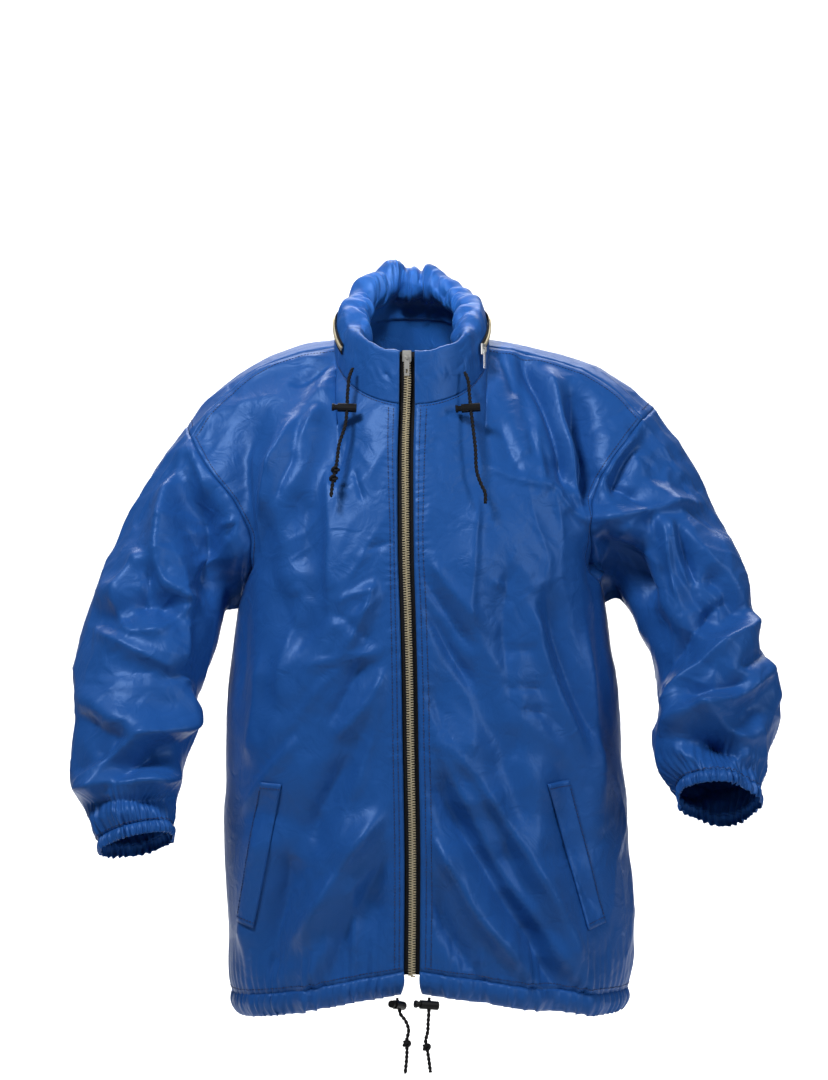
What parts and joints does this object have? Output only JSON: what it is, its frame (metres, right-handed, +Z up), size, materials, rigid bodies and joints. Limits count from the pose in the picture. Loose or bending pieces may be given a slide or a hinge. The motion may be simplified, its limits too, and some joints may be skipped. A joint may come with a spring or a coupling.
{
  "type": "raincoat",
  "caption": "Roomy zip-front nylon raincoat, filled out as worn, with a rolled hood in its stand collar, elastic cuffs, slanted welt pockets and drawstrings at collar and hem.",
  "frame": {"origin": "middle of the neck, level with the neck points of the shoulder seams", "axes": "+Z up, the garment faces -Y, the wearer's right is at -X"},
  "size_m": [0.7559, 0.3546, 0.8756],
  "materials": {
    "blue_nylon": "thin coated nylon, soft sheen",
    "zip_tape": "woven tape",
    "cord": "braided cord",
    "brass_teeth": "antique brass teeth",
    "slider_metal": "satin",
    "black_plastic": "moulded"
  },
  "bodies": {
    "garment": {"back": "blue_nylon", "back_hem_casing": "blue_nylon", "collar": "blue_nylon", "collar_cord_left": "cord", "collar_cord_right": "cord", "collar_lock_left_barrel": "black_plastic", "collar_lock_right_barrel": "black_plastic", "hem_cord_left": "cord", "hem_cord_right": "cord", "hem_lock_left_barrel": "black_plastic", "hem_lock_right_barrel": "black_plastic", "hood_zip": "brass_teeth", "hood_zip_slider": "slider_metal", "left_cuff": "blue_nylon", "left_front": "blue_nylon", "left_hem_casing": "blue_nylon", "left_pocket_welt": "blue_nylon", "left_sleeve": "blue_nylon", "left_zip_tape": "zip_tape", "right_cuff": "blue_nylon", "right_front": "blue_nylon", "right_hem_casing": "blue_nylon", "right_pocket_welt": "blue_nylon", "right_sleeve": "blue_nylon", "right_zip_tape": "zip_tape", "zip_chain": "brass_teeth", "zip_slider": "slider_metal"},
    "zip_pull": {"zip_pull": "slider_metal"},
    "hood_zip_pull": {"hood_zip_pull": "slider_metal"},
    "collar_lock_right_plunger": {"collar_lock_right_plunger": "black_plastic"},
    "collar_lock_left_plunger": {"collar_lock_left_plunger": "black_plastic"},
    "hem_lock_right_plunger": {"hem_lock_right_plunger": "black_plastic"},
    "hem_lock_left_plunger": {"hem_lock_left_plunger": "black_plastic"}
  },
  "joints": [
    {"name": "zip_pull_swing", "type": "hinge", "parent": "garment", "child": "zip_pull", "pos_m": [-0.0055, -0.10561, -0.019], "axis": [-1, 0, 0], "range_deg": [0, 150]},
    {"name": "hood_zip_pull_swing", "type": "hinge", "parent": "garment", "child": "hood_zip_pull", "pos_m": [0.0786, -0.05986, -0.00873], "axis": [-0.4403, -0.8979, 0], "range_deg": [0, 150]},
    {"name": "collar_lock_right_press", "type": "slide", "parent": "garment", "child": "collar_lock_right_plunger", "axis": [0.999, -0.0188, -0.0398], "range_m": [0, 0.0032], "stiffness_N_per_m": 400},
    {"name": "collar_lock_left_press", "type": "slide", "parent": "garment", "child": "collar_lock_left_plunger", "axis": [0.9963, 0.0362, 0.0786], "range_m": [0, 0.0032], "stiffness_N_per_m": 400},
    {"name": "hem_lock_right_press", "type": "slide", "parent": "garment", "child": "hem_lock_right_plunger", "axis": [0.4614, 0.8628, -0.2064], "range_m": [0, 0.0032], "stiffness_N_per_m": 400},
    {"name": "hem_lock_left_press", "type": "slide", "parent": "garment", "child": "hem_lock_left_plunger", "axis": [0.9214, 0.3668, -0.1282], "range_m": [0, 0.0032], "stiffness_N_per_m": 400}
  ]
}
